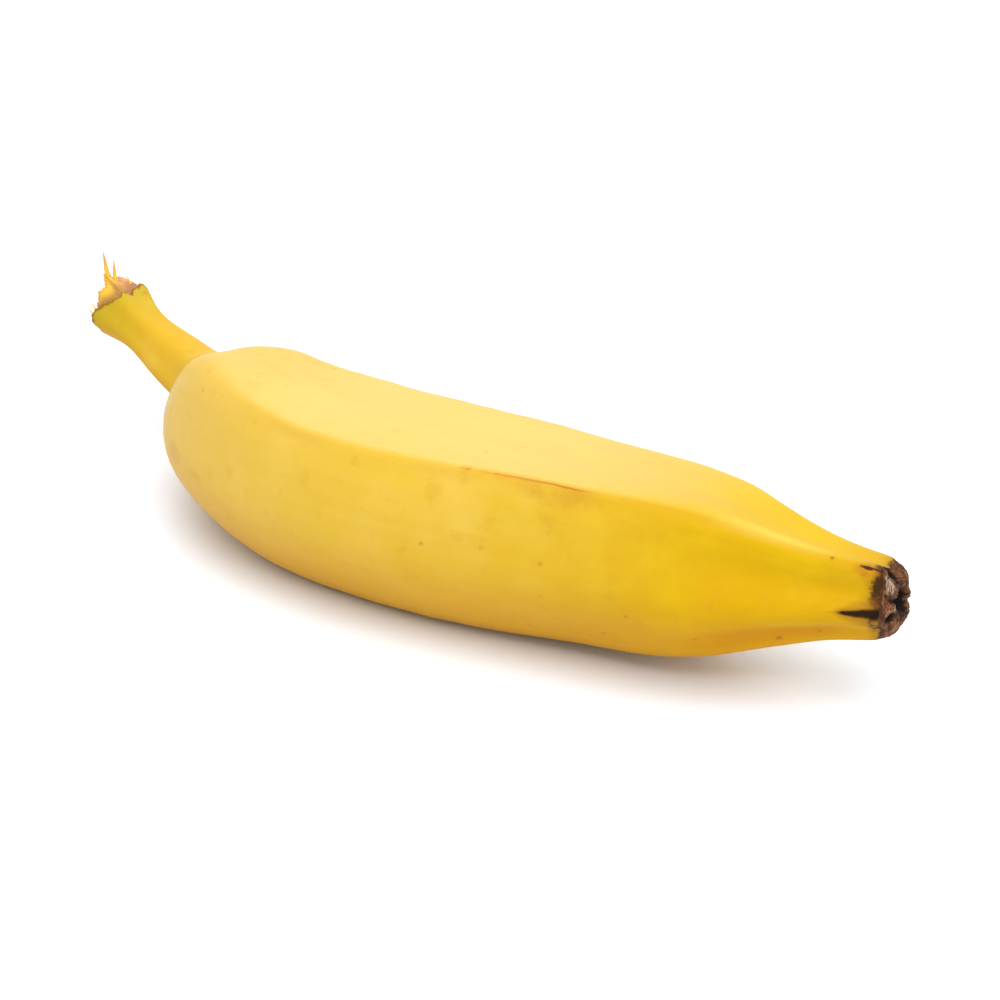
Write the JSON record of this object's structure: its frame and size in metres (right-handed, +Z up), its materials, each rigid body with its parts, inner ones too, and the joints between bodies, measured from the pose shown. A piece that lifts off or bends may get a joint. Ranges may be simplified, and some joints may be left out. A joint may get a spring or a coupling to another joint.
{
  "type": "banana",
  "caption": "Whole ripe banana lying on its side, gently curved, with blunt ridges, a torn stem and a dried blossom cap.",
  "frame": {"origin": "on the table, under the middle of the fruit's bounding box", "axes": "+X from the torn stem towards the blossom tip, +Y towards the hollow side of the curve, +Z up from the table"},
  "size_m": [0.1972, 0.0602, 0.0371],
  "materials": {
    "peel": "satin"
  },
  "bodies": {
    "root": {"banana": "peel"}
  },
  "joints": []
}
